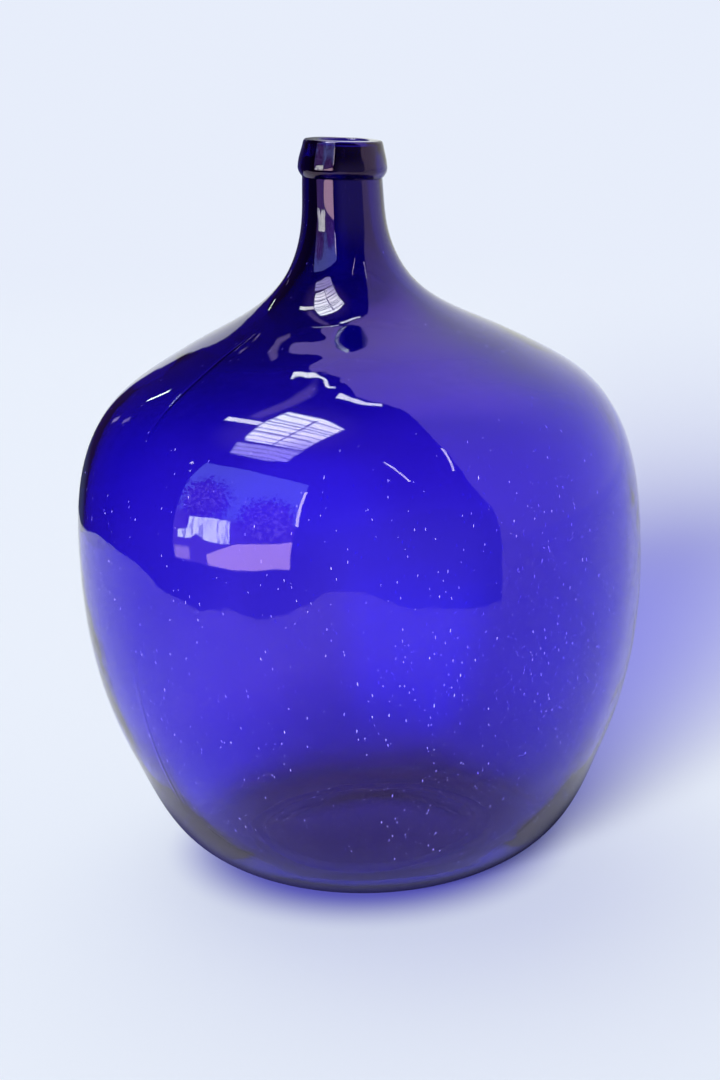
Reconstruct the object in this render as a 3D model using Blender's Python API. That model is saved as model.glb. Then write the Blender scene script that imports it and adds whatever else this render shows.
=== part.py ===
"""A large hand-blown glass demijohn, empty and without a stopper.

Two pieces of glass: the body, blown as one bubble from the pushed-up base to the neck, and
the lip, a second gather laid over the end of the neck. Metres, +Z up. The origin is on the
floor, under the middle of the widest ring. Run with: blender --background --python part.py
"""

import math

import bmesh
import bpy
from mathutils import Vector
from mathutils.geometry import interpolate_bezier

# Heights, from the floor upwards
BELLY_LEVEL = 0.2551
SHOULDER_RISE = 0.2698
NECK_LENGTH = 0.0351
LIP_HEIGHT = 0.0290

# Radii of the outside
RING_INNER_RADIUS = 0.0920
RING_OUTER_RADIUS = 0.1065
BELLY_RADIUS = 0.2287
NECK_RADIUS = 0.0315

# Pushed-up base
PUSH_UP_HEIGHT = 0.0140
RING_SLOPE = 20.7

# Wall thickness at each level
BASE_WALL = 0.0120
RING_WALL = 0.0140
HEEL_WALL = 0.0080
LOWER_WALL = 0.0046
BELLY_WALL = 0.0052
SHOULDER_WALL = 0.0066
UPPER_SHOULDER_WALL = 0.0075
NECK_ROOT_WALL = 0.0100
NECK_WALL = 0.0115

# Outline between the ring and the belly: share of the way out, share of the way up
LOWER_OUTLINE_SHARES = ((0.451, 0.134), (0.7545, 0.407))
LOWER_SLOPES = (48.4, 65.8)
LOWER_WALLS = (HEEL_WALL, LOWER_WALL)

# Outline between the belly and the neck: share of the way out from the neck, share of the rise
UPPER_OUTLINE_SHARES = ((0.860, 0.4678), (0.5157, 0.6468), (0.104, 0.8343), (0.0112, 1.0))
UPPER_SLOPES = (126.8, 150.3, 128.7, 98.0)
UPPER_WALLS = (SHOULDER_WALL, UPPER_SHOULDER_WALL, NECK_ROOT_WALL, NECK_WALL)

# Lip: seat on the neck, ridge, top edge
SEAT_DEPTH = 0.0045
RIM_COVER = 0.0040
LIP_FOOT_OVERHANG = 0.0003
LIP_RIDGE_OVERHANG = 0.0037
LIP_RIDGE_DROP = 0.0215
LIP_TOP_INSET = 0.0002
LIP_BEVEL_SLOPE = 52.0
LIP_FLARE_SLOPE = 101.0
LIP_EDGE_FILLET = 0.0026
MOUTH_FILLET = 0.0022

# Hand-made irregularity: how far the top leans towards -X, and the tilt of the lip
NECK_LEAN = 0.0070
LEAN_START_SHARE = 0.116
LIP_TILT = math.radians(3.5)

# Gap between the two pieces of glass
GLASS_GAP = 0.0003

# Fineness of the turned solids
SEGMENTS = 48
TURN_STEP = 6.5
SHORTEST_EDGE = 0.0011
STRAIGHT_TURN = math.radians(0.5)
MERGE_DISTANCE = 0.00001
SHARP_ANGLE = math.radians(38.0)

# Glass colour and finish
BODY_GLASS = (0.030, 0.020, 0.360, 1.0)
LIP_GLASS = (0.012, 0.010, 0.120, 1.0)
GLASS_ROUGHNESS = 0.03
GLASS_IOR = 1.52

# Levels worked out from the sizes above
NECK_BOTTOM = BELLY_LEVEL + SHOULDER_RISE
LIP_FOOT = NECK_BOTTOM + NECK_LENGTH
TOTAL_HEIGHT = LIP_FOOT + LIP_HEIGHT
RIM_LEVEL = TOTAL_HEIGHT - RIM_COVER - GLASS_GAP
NECK_ROOT_LEVEL = BELLY_LEVEL + UPPER_OUTLINE_SHARES[2][1] * SHOULDER_RISE
SEAT_RADIUS = NECK_RADIUS - SEAT_DEPTH
BORE_RADIUS = NECK_RADIUS - NECK_WALL


def clear_scene():
    for item in list(bpy.data.objects):
        bpy.data.objects.remove(item, do_unlink=True)


def station(radius, height, slope):
    """A place on the outline, and the direction in degrees in which the outline leaves it."""
    return Vector((radius, 0.0, height)), math.radians(slope)


def arc_slope(across, rise):
    """The slope at the end of an arc that sets off level and ends that far across and up."""
    return math.degrees(2.0 * math.atan2(rise, across))


def smooth_line(stations):
    """Points of a smooth line through the stations, in round arcs as nearly as they allow."""
    points = [stations[0][0]]
    for (start, out), (end, into) in zip(stations, stations[1:]):
        turn = abs(into - out)
        chord = (end - start).length
        pull = chord / 3.0
        if turn > STRAIGHT_TURN:
            pull = chord * 2.0 / 3.0 * math.tan(turn / 4.0) / math.sin(turn / 2.0)
        first = start + pull * Vector((math.cos(out), 0.0, math.sin(out)))
        second = end - pull * Vector((math.cos(into), 0.0, math.sin(into)))
        steps = min(math.ceil(math.degrees(turn) / TURN_STEP), math.ceil(chord / SHORTEST_EDGE))
        points += interpolate_bezier(start, first, second, end, max(2, steps) + 1)[1:]
    return points


def wall_stations():
    """Stations of the outside from the standing ring to the neck, each with its wall."""
    places = [(*station(RING_OUTER_RADIUS, 0.0, RING_SLOPE), RING_WALL)]
    for (out, up), slope, wall in zip(LOWER_OUTLINE_SHARES, LOWER_SLOPES, LOWER_WALLS):
        radius = RING_OUTER_RADIUS + out * (BELLY_RADIUS - RING_OUTER_RADIUS)
        places.append((*station(radius, up * BELLY_LEVEL, slope), wall))
    places.append((*station(BELLY_RADIUS, BELLY_LEVEL, 90.0), BELLY_WALL))
    for (out, up), slope, wall in zip(UPPER_OUTLINE_SHARES, UPPER_SLOPES, UPPER_WALLS):
        radius = NECK_RADIUS + out * (BELLY_RADIUS - NECK_RADIUS)
        places.append((*station(radius, BELLY_LEVEL + up * SHOULDER_RISE, slope), wall))
    places.append((*station(NECK_RADIUS, LIP_FOOT, 90.0), NECK_WALL))
    return places


def inside_station(place, direction, wall):
    """The station on the inside of the glass, across the wall from one on the outside."""
    across = Vector((-math.sin(direction), 0.0, math.cos(direction)))
    return place + wall * across, direction


def body_outline():
    """The body's cross-section, from the axis under the base to the axis inside it."""
    outside = wall_stations()
    base = smooth_line([
        station(0.0, PUSH_UP_HEIGHT, 0.0),
        station(RING_INNER_RADIUS, 0.0, arc_slope(RING_INNER_RADIUS, -PUSH_UP_HEIGHT)),
    ])
    wall = smooth_line([(place, direction) for place, direction, _ in outside])
    valley_radius = (RING_INNER_RADIUS + RING_OUTER_RADIUS) / 2.0
    crown_level = PUSH_UP_HEIGHT + BASE_WALL
    flank_slope = arc_slope(valley_radius, RING_WALL - crown_level)
    cavity = smooth_line([
        station(0.0, crown_level, 0.0),
        station(valley_radius / 2.0, (crown_level + RING_WALL) / 2.0, flank_slope),
        station(valley_radius, RING_WALL, 0.0),
        *[inside_station(*outer) for outer in outside[1:]],
    ])
    seat = [
        Vector((SEAT_RADIUS, 0.0, LIP_FOOT)),
        Vector((SEAT_RADIUS, 0.0, RIM_LEVEL)),
        Vector((BORE_RADIUS, 0.0, RIM_LEVEL)),
    ]
    return base + wall + seat + cavity[::-1]


def lip_outline():
    """The lip's cross-section, a closed loop that starts inside the mouth and runs outwards."""
    rim_top = TOTAL_HEIGHT - RIM_COVER
    foot = LIP_FOOT + GLASS_GAP
    socket = SEAT_RADIUS + GLASS_GAP
    top_radius = NECK_RADIUS - LIP_TOP_INSET
    flare = smooth_line([
        station(NECK_RADIUS + LIP_FOOT_OVERHANG, foot, LIP_BEVEL_SLOPE),
        station(NECK_RADIUS + LIP_RIDGE_OVERHANG, TOTAL_HEIGHT - LIP_RIDGE_DROP, 90.0),
        station(top_radius, TOTAL_HEIGHT - LIP_EDGE_FILLET, LIP_FLARE_SLOPE),
        station(top_radius - LIP_EDGE_FILLET, TOTAL_HEIGHT, 180.0),
    ])
    mouth = smooth_line([
        station(BORE_RADIUS + MOUTH_FILLET, TOTAL_HEIGHT, 180.0),
        station(BORE_RADIUS, TOTAL_HEIGHT - MOUTH_FILLET, 270.0),
    ])
    under = [
        Vector((BORE_RADIUS, 0.0, rim_top)),
        Vector((socket, 0.0, rim_top)),
        Vector((socket, 0.0, foot)),
    ]
    return under + flare + mouth


def ease(value, low, high):
    """Nought below low, one above high and a smooth rise between them."""
    share = min(max((value - low) / (high - low), 0.0), 1.0)
    return share * share * (3.0 - 2.0 * share)


def lean(height):
    """How far the centre line has gone to +X at a height, and its slope there."""
    start = LEAN_START_SHARE * TOTAL_HEIGHT
    share = min(max((height - start) / (TOTAL_HEIGHT - start), 0.0), 1.0)
    offset = -NECK_LEAN * (ease(height, start, TOTAL_HEIGHT) - ease(BELLY_LEVEL, start, TOTAL_HEIGHT))
    return offset, -NECK_LEAN * 6.0 * share * (1.0 - share) / (TOTAL_HEIGHT - start)


def hand_shape(place):
    """Moves a point of the true turned shape to where the hand-made glass has it."""
    offset, slope = lean(place.z)
    bend = -math.atan(slope)
    tilt = ease(place.z, NECK_ROOT_LEVEL, LIP_FOOT) * math.tan(LIP_TILT)
    above_foot = max(place.z - LIP_FOOT, 0.0)
    return Vector((
        offset + place.x * math.cos(bend) + above_foot * tilt,
        place.y,
        place.z + place.x * (math.sin(bend) - tilt),
    ))


def glass(name, colour):
    material = bpy.data.materials.new(name)
    material.use_nodes = True
    shader = material.node_tree.nodes["Principled BSDF"]
    shader.inputs["Base Color"].default_value = colour
    shader.inputs["Roughness"].default_value = GLASS_ROUGHNESS
    shader.inputs["Metallic"].default_value = 0.0
    shader.inputs["IOR"].default_value = GLASS_IOR
    shader.inputs["Transmission Weight"].default_value = 1.0
    material.diffuse_color = colour
    return material


def turned(name, outline, closed, material, parent):
    """A solid of revolution about Z from an outline in the XZ plane."""
    shape = bmesh.new()
    points = [shape.verts.new(place) for place in outline]
    edges = [shape.edges.new(pair) for pair in zip(points, points[1:])]
    if closed:
        edges.append(shape.edges.new((points[-1], points[0])))
    bmesh.ops.spin(
        shape,
        geom=points + edges,
        cent=(0.0, 0.0, 0.0),
        axis=(0.0, 0.0, 1.0),
        angle=math.tau,
        steps=SEGMENTS,
        use_merge=True,
    )
    bmesh.ops.remove_doubles(shape, verts=shape.verts, dist=MERGE_DISTANCE)
    for point in shape.verts:
        point.co = hand_shape(point.co)
    bmesh.ops.recalc_face_normals(shape, faces=shape.faces)
    mesh = bpy.data.meshes.new(name)
    shape.to_mesh(mesh)
    shape.free()
    mesh.shade_smooth()
    mesh.set_sharp_from_angle(angle=SHARP_ANGLE)
    mesh.materials.append(material)
    piece = bpy.data.objects.new(name, mesh)
    piece.parent = parent
    bpy.context.scene.collection.objects.link(piece)
    return piece


def build():
    clear_scene()
    demijohn = bpy.data.objects.new("demijohn", None)
    bpy.context.scene.collection.objects.link(demijohn)
    turned("blown_body", body_outline(), False, glass("body_glass", BODY_GLASS), demijohn)
    turned("applied_lip", lip_outline(), True, glass("lip_glass", LIP_GLASS), demijohn)


build()
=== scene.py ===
import math

import bmesh
import bpy
from bpy.props import FloatProperty, FloatVectorProperty, IntProperty, PointerProperty
from mathutils import Matrix, Vector
from mathutils.geometry import interpolate_bezier


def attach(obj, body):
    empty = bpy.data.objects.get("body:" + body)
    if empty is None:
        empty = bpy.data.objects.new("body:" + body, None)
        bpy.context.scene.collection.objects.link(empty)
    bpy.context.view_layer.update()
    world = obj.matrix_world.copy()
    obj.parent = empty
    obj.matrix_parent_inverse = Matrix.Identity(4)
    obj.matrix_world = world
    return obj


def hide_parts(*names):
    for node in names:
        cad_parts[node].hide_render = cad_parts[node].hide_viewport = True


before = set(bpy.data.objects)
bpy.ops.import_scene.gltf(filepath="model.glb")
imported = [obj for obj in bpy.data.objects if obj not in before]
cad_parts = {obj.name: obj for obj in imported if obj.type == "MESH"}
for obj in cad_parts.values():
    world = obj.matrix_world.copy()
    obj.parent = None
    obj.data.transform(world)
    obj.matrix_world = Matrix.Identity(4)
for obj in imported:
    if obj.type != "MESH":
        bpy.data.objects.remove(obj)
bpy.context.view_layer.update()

bl_info = {
    "name": "Blown Glass Demijohn",
    "version": (1, 0, 0),
    "blender": (4, 5, 0),
    "location": "3D View > Sidebar > Demijohn",
    "description": "A large hand-blown blue glass bottle, with a stage to show it on",
    "category": "Add Mesh",
}

# Where the glass begins to darken up the shoulder, and how far under the neck's root it stops
TINT_FOOT = 0.340
TINT_TOP_DROP = 0.025

# Light that one skin of the glass lets by in a shadow
SKIN_LETS_BY = (0.94, 0.94, 1.03)

# The same where the glass is deepest
DEEP_LETS_BY = (0.10, 0.08, 0.50)

# Painted shade: a dark colour laid on the glass where it is seen edge on, in place of what it would
# mirror there
PAINTED_EDGE_SHADE = (0.012, 0.010, 0.045)

# Outline between the ring and the belly: share of the way out, share of the way up
LOWER_OUTLINE_SHARES = ((0.451, 0.134), (0.7545, 0.407))
LOWER_SLOPES = (48.4, 65.8)

# Outline between the belly and the neck: share of the way out from the neck, share of the rise
UPPER_OUTLINE_SHARES = ((0.860, 0.4678), (0.5157, 0.6468), (0.104, 0.8343), (0.0112, 1.0))
UPPER_SLOPES = (126.8, 150.3, 128.7, 98.0)

# The neck narrows a very little all the way up to the lip
NECK_TOP_SLOPE = 93.5

# Hand-made irregularity: how far up the lean starts
LEAN_START_SHARE = 0.116

# Meshing: points nearer than this are one, and edges sharper than this stay sharp
MERGE_DISTANCE = 0.00001
SHARP_ANGLE = math.radians(38.0)

# How far the waves of the inner skin are from those of the outer one
SKIN_STEP = 7.3

# A very slight swell round the shoulder: its level, half its width and its height
SWELL_LEVEL = 0.4235
SWELL_REACH = 0.011
SWELL_HEIGHT = 0.00015

# How far round from a mould seam the steps are crowded
SEAM_REACH = math.radians(12.0)

# Where a seam stands out: shares of the height where it begins, is full, begins to end and
# ends, and how much of its height it has there; elsewhere it keeps a little of it
SEAM_STRETCHES = ((0.650, 0.690, 0.745, 0.775, 0.85), (0.135, 0.190, 0.310, 0.360, 0.45))
SEAM_REST_SHARE = 0.10

# Heights over which the waves of the wall set in above the base
WAVE_FOOT = (0.012, 0.060)

# Sides across the neck's axis, in neck radii: where the shoulder's lighter right side begins and is
# full, and where the neck's darker left side is full and ends
LIGHTER_RIGHT_SIDE = (-2.0, 2.0)
DARKER_LEFT_SIDE = (-1.0, -0.3)
DARKER_LEFT_DEPTH = 0.45

# The dark middle of the base: where it fades, in outer ring radii and in push-ups
BASE_FADES = (1.15, 1.55)
BASE_TOP = (1.2, 3.4)

# Painted light: green that the body's skin lets through, and the lighter belt of heights in which it
# lets all through
GREEN_OUTSIDE_LIGHT_BELT = 0.78
PAINTED_LIGHT_BELT = (0.075, 0.130, 0.200, 0.300)

# Where painted shade darkens glass seen edge on: heights at the heel, places across the lip, how far the
# skin turns from the eye, and how dark it gets at the heel, on the neck and on the lip
HEEL_PAINTED_SHADE = (0.045, 0.110)
LIP_PAINTED_SHADE = (-0.030, 0.0)
PAINTED_EDGE_SHADE_FACING = (0.55, 0.90)
PAINTED_EDGE_SHADE_DEPTHS = (0.95, 0.7, 0.8)

# Bubbles thin out upwards to a least share, and drift in clouds, so many in a metre
FEWEST_SEEDS = 0.15
SEED_FADES = (0.5, 0.9)
SEED_CLOUDS = 14.0

# What the turning of an outline and the scatter of the bubbles are given
TURNING_INPUTS = {
    "Geometry": ("Outline",),
    "Int": ("Steps",),
    "Float": (
        "Height", "Belly Level", "Lean", "Lean Start", "Neck Root", "Lip Foot", "Tilt", "Wave Length",
        "Wave Seed", "Seam Azimuth", "Seam Height", "Seam Width", "Seam Foot",
    ),
    "Material": ("Glass",),
}
SEED_INPUTS = {
    "Geometry": ("Body",),
    "Float": ("Density", "Length", "Width", "Depth", "Lowest", "Highest", "Side"),
    "Int": ("Seed",),
    "Material": ("Air",),
}


def length(label, about, default):
    """A size in metres that a user can change."""
    return FloatProperty(
        name=label, description=about, default=default, min=0.0, precision=4, unit="LENGTH"
    )


def angle(label, about, degrees):
    """An angle that a user can change, given here in degrees."""
    return FloatProperty(
        name=label, description=about, default=math.radians(degrees), unit="ROTATION"
    )


def whole(label, about, default, low=0):
    """A whole number that a user can change."""
    return IntProperty(name=label, description=about, default=default, min=low)


def number(label, about, default, low=0.0):
    """A plain number that a user can change."""
    return FloatProperty(name=label, description=about, default=default, min=low, precision=3)


def colour(label, about, default):
    """A colour that a user can change."""
    return FloatVectorProperty(
        name=label, description=about, default=default, min=0.0, size=3, subtype="COLOR"
    )


class DemijohnShape(bpy.types.PropertyGroup):
    """Sizes of the blown body and the lip, as the solids have them."""

    belly_level: length("Belly level", "Height of the widest ring", 0.2551)
    shoulder_rise: length("Shoulder rise", "From the widest ring to the foot of the neck", 0.2698)
    neck_length: length("Neck length", "From the foot of the neck to the lip", 0.0351)
    lip_height: length("Lip height", "From the lip's foot to its top", 0.0290)
    ring_inner: length("Ring inner radius", "Inside of the ring that it stands on", 0.0920)
    ring_outer: length("Ring outer radius", "Outside of the ring that it stands on", 0.1065)
    belly_radius: length("Belly radius", "Radius of the widest ring", 0.2287)
    neck_radius: length("Neck radius", "Radius of the neck under the lip", 0.0315)
    push_up: length("Push-up", "How far the middle of the base is pushed up", 0.0140)
    ring_slope: number("Ring slope", "Slope in degrees at which the heel leaves the floor", 20.7)
    base_wall: length("Base wall", "Thickness of the glass in the middle of the base", 0.0120)
    ring_wall: length("Ring wall", "Thickness over the standing ring", 0.0140)
    heel_wall: length("Heel wall", "Thickness at the heel", 0.0080)
    lower_wall: length("Lower wall", "Thickness below the belly", 0.0046)
    belly_wall: length("Belly wall", "Thickness at the widest ring", 0.0052)
    shoulder_wall: length("Shoulder wall", "Thickness at the shoulder", 0.0066)
    upper_shoulder_wall: length("Upper shoulder wall", "Thickness above the shoulder", 0.0075)
    neck_root_wall: length("Neck root wall", "Thickness where the neck begins", 0.0100)
    neck_wall: length("Neck wall", "Thickness of the neck", 0.0115)
    seat_depth: length("Seat depth", "How far the neck's end is drawn in under the lip", 0.0045)
    rim_cover: length("Rim cover", "Glass of the lip over the neck's end", 0.0040)
    foot_overhang: length("Lip foot overhang", "How far the lip's foot stands out from the neck", 0.0003)
    ridge_overhang: length("Lip ridge overhang", "How far the lip's ridge stands out", 0.0037)
    ridge_drop: length("Lip ridge drop", "From the lip's top down to its ridge", 0.0215)
    top_inset: length("Lip top inset", "How far the lip's top edge is drawn in", 0.0002)
    bevel_slope: number("Lip bevel slope", "Slope in degrees of the lip's underside", 52.0)
    flare_slope: number("Lip flare slope", "Slope in degrees of the lip's side at its top", 101.0)
    edge_fillet: length("Lip edge fillet", "Rounding of the lip's outer edge", 0.0026)
    mouth_fillet: length("Mouth fillet", "Rounding of the mouth's edge", 0.0022)
    lean: length("Neck lean", "How far the top leans to the left", 0.0070)
    lip_tilt: angle("Lip tilt", "Tilt of the lip", 3.5)
    gap: length("Glass gap", "Gap between the body and the lip", 0.0003)

    @property
    def neck_bottom(self):
        return self.belly_level + self.shoulder_rise

    @property
    def lip_foot(self):
        return self.neck_bottom + self.neck_length

    @property
    def height(self):
        return self.lip_foot + self.lip_height

    @property
    def rim_level(self):
        return self.height - self.rim_cover - self.gap

    @property
    def neck_root(self):
        return self.belly_level + UPPER_OUTLINE_SHARES[2][1] * self.shoulder_rise

    @property
    def seat_radius(self):
        return self.neck_radius - self.seat_depth

    @property
    def bore_radius(self):
        return self.neck_radius - self.neck_wall


class DemijohnSurface(bpy.types.PropertyGroup):
    """How fine the meshes are and how uneven the hand-made glass is."""

    steps: whole("Steps", "Faces round the bottle, an even number", 200, 24)
    turn: number("Turn step", "Degrees that the outline turns in one face", 2.4, 0.1)
    longest: length("Longest edge", "Longest face along the outline", 0.0062)
    outside_wave: length("Outside wave", "Unevenness of the outer skin", 0.0003)
    inside_wave: length("Inside wave", "Unevenness of the inner skin", 0.0009)
    wave_length: length("Wave length", "Distance between one wave and the next", 0.0900)
    lip_wave: length("Lip wave", "Unevenness of the tooled lip", 0.0003)
    lip_wave_length: length("Lip wave length", "Distance between waves of the lip", 0.0140)
    wave_seed: whole("Wave seed", "Another hand-made surface", 3)
    seam_height: length("Seam height", "How far the mould seams stand out", 0.00028)
    seam_width: length("Seam width", "Half the width of a mould seam", 0.0012)
    seam_azimuth: angle("Seam azimuth", "Turn of the front seam to the left of the front", 51.0)


class DemijohnSeeds(bpy.types.PropertyGroup):
    """The small bubbles that are caught in the wall."""

    density: number("Density", "Bubbles in a square metre of wall where they are many", 16000.0)
    bubble_length: length("Bubble length", "Length of a long bubble", 0.0036)
    bubble_width: length("Bubble width", "Width of a wide bubble", 0.00055)
    depth: length("Depth", "Depth of the bubbles under the outer skin", 0.0016)
    lowest: length("Lowest", "Height of the lowest bubbles", 0.0400)
    highest: length("Highest", "Height of the highest bubbles", 0.4600)
    seed: whole("Seed", "Another scatter of bubbles", 11)


class DemijohnGlass(bpy.types.PropertyGroup):
    """Colour and finish of the glass."""

    ior: number("Refractive index", "Bending of light by the glass", 1.52, 1.0)
    body_colour: colour("Body colour", "Light that a thick wall lets through", (0.302, 0.167, 0.922))
    body_density: number("Body density", "Depth of the body's colour, per metre", 402.0)
    lip_colour: colour("Lip colour", "Light that the lip lets through", (0.302, 0.081, 0.900))
    lip_density: number("Lip density", "Depth of the lip's colour, per metre", 430.0)
    neck_tint: number("Neck tint", "Light that the thick glass of the neck still lets through", 0.36)
    # The shoulder is made lighter towards its right side, up to this tint; its wall is not thinner there
    right_side_tint: number("Right side tint", "The same on the side where the shoulder is thinner", 0.55)
    base_tint: number("Base tint", "Light that the thick glass of the base still lets through", 0.46)
    lip_tint: number("Lip tint", "Light that the lip still lets through", 0.32)
    gloss_tint: colour("Gloss tint", "Colour of what the glass mirrors straight on", (1.0, 0.62, 0.95))
    roughness: number("Roughness", "Roughness of the fire-polished skin", 0.0)
    unevenness: length("Unevenness", "Height of the fine waves in the skin", 0.00015)
    unevenness_scale: number("Unevenness scale", "Fine waves in a metre", 30.0)


class DemijohnStage(bpy.types.PropertyGroup):
    """The floor, the camera and the surroundings, with the light that they give."""

    pale: colour("Floor", "Colour of the floor and of what lies behind it", (0.80, 0.85, 0.965))
    # Painted shadow: the floor's colour round the foot, darker and bluer in place of the heel's shade
    # and the light through it
    painted_foot_shadow: colour("Painted foot shadow", "Light that the heel throws on the floor", (0.12, 0.115, 0.60))
    pale_low: colour("Pale, low", "The backdrop's lower part, as reflected", (0.93, 0.98, 0.97))
    pale_high: colour("Pale, high", "The backdrop's bluer upper part, as reflected", (1.3, 1.15, 2.45))
    dark: colour("Dark side", "What it reflects beside the backdrop", (0.035, 0.014, 0.070))
    dusk: colour("Dusk", "What it reflects low at the front", (0.24, 0.26, 0.55))
    dusk_back: colour("Dusky backdrop", "What it reflects low beside the backdrop", (0.07, 0.08, 0.16))
    roof: colour("Lit roof", "What it reflects round the skylight", (0.40, 0.30, 0.60))
    gleam: colour("Gleam", "The dim lights on the darker side, as reflected", (0.90, 0.75, 1.20))
    door_inside: colour("Door, inside", "The large light mirrored inside the bottle", (2.6, 6.0, 5.4))
    door_high: colour("Door, high", "Upper part of the large light, as reflected", (1.1, 1.9, 4.0))
    door_low: colour("Door, low", "Lower part of the large light, as reflected", (0.8, 0.6, 1.8))
    door_shade: colour("Door, shade", "The mottled shades in the large light", (0.40, 0.15, 1.0))
    door_fleck: colour("Door, flecks", "The light flecks in its mottled shades", (1.7, 1.5, 3.6))
    door_patch: colour("Door, patch", "Bright patch low in the large light", (11.0, 17.0, 11.5))
    door_ground: colour("Door, ground", "Bright band at the foot of the large light", (6.6, 6.4, 5.6))
    skylight: colour("Skylight", "The light overhead, as reflected", (15.5, 22.5, 17.0))
    skylight_foot: colour("Skylight's foot", "The dimmer row of panes under it", (5.6, 7.4, 9.0))
    bars: colour("Skylight bars", "The bars between its panes", (1.2, 1.4, 2.4))
    streak: colour("Streak", "The thin lights, as reflected", (11.0, 15.0, 10.5))
    floor_radius: length("Floor radius", "Radius of the floor", 9.0)
    lit_radius: length("Lit radius", "Radius inside which the floor shows shadow", 2.4)
    faded_radius: length("Faded radius", "Radius past which the floor is plain", 4.2)
    pale_light: colour("Pale light", "Light from the pale side", (0.13, 0.115, 0.14))
    dark_light: colour("Dark light", "Light from the darker side", (0.05, 0.045, 0.055))
    key_light: colour("Key light", "The low light at the front left", (64.0, 65.0, 62.0))
    back_light: colour("Back light", "The broad light behind", (0.85, 0.85, 0.85))
    top_light: colour("Top light", "The soft light overhead", (0.75, 0.75, 0.75))
    camera_distance: length("Camera distance", "From the bottle's axis to the camera", 1.5804)
    camera_height: length("Camera height", "Height of the camera", 0.6884)
    camera_pitch: angle("Camera pitch", "Downward tilt", 14.993)
    camera_roll: angle("Camera roll", "Turn about the view axis", 1.821)
    camera_lens: number("Lens", "Focal length in millimetres", 66.34)


class Term:
    """A socket of a node tree. Sums on terms add the Math nodes that they need."""

    def __init__(self, graph, socket):
        self.graph = graph
        self.socket = socket

    def math(self, operation, *others):
        return self.graph.add("ShaderNodeMath", dict(enumerate((self, *others))), operation=operation)

    def degrees(self, operation, *others):
        """The angle that an operation gives, in degrees."""
        return self.math(operation, *others) * math.degrees(1.0)

    def reversed_math(self, operation, other):
        return self.graph.add("ShaderNodeMath", {0: other, 1: self}, operation=operation)

    def __add__(self, other):
        return self.math("ADD", other)

    def __radd__(self, other):
        return self.reversed_math("ADD", other)

    def __sub__(self, other):
        return self.math("SUBTRACT", other)

    def __rsub__(self, other):
        return self.reversed_math("SUBTRACT", other)

    def __mul__(self, other):
        return self.math("MULTIPLY", other)

    def __rmul__(self, other):
        return self.reversed_math("MULTIPLY", other)

    def __truediv__(self, other):
        return self.math("DIVIDE", other)

    def __rtruediv__(self, other):
        return self.reversed_math("DIVIDE", other)

    def __neg__(self):
        return self.reversed_math("MULTIPLY", -1.0)

    def __abs__(self):
        return self.math("ABSOLUTE")


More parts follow.
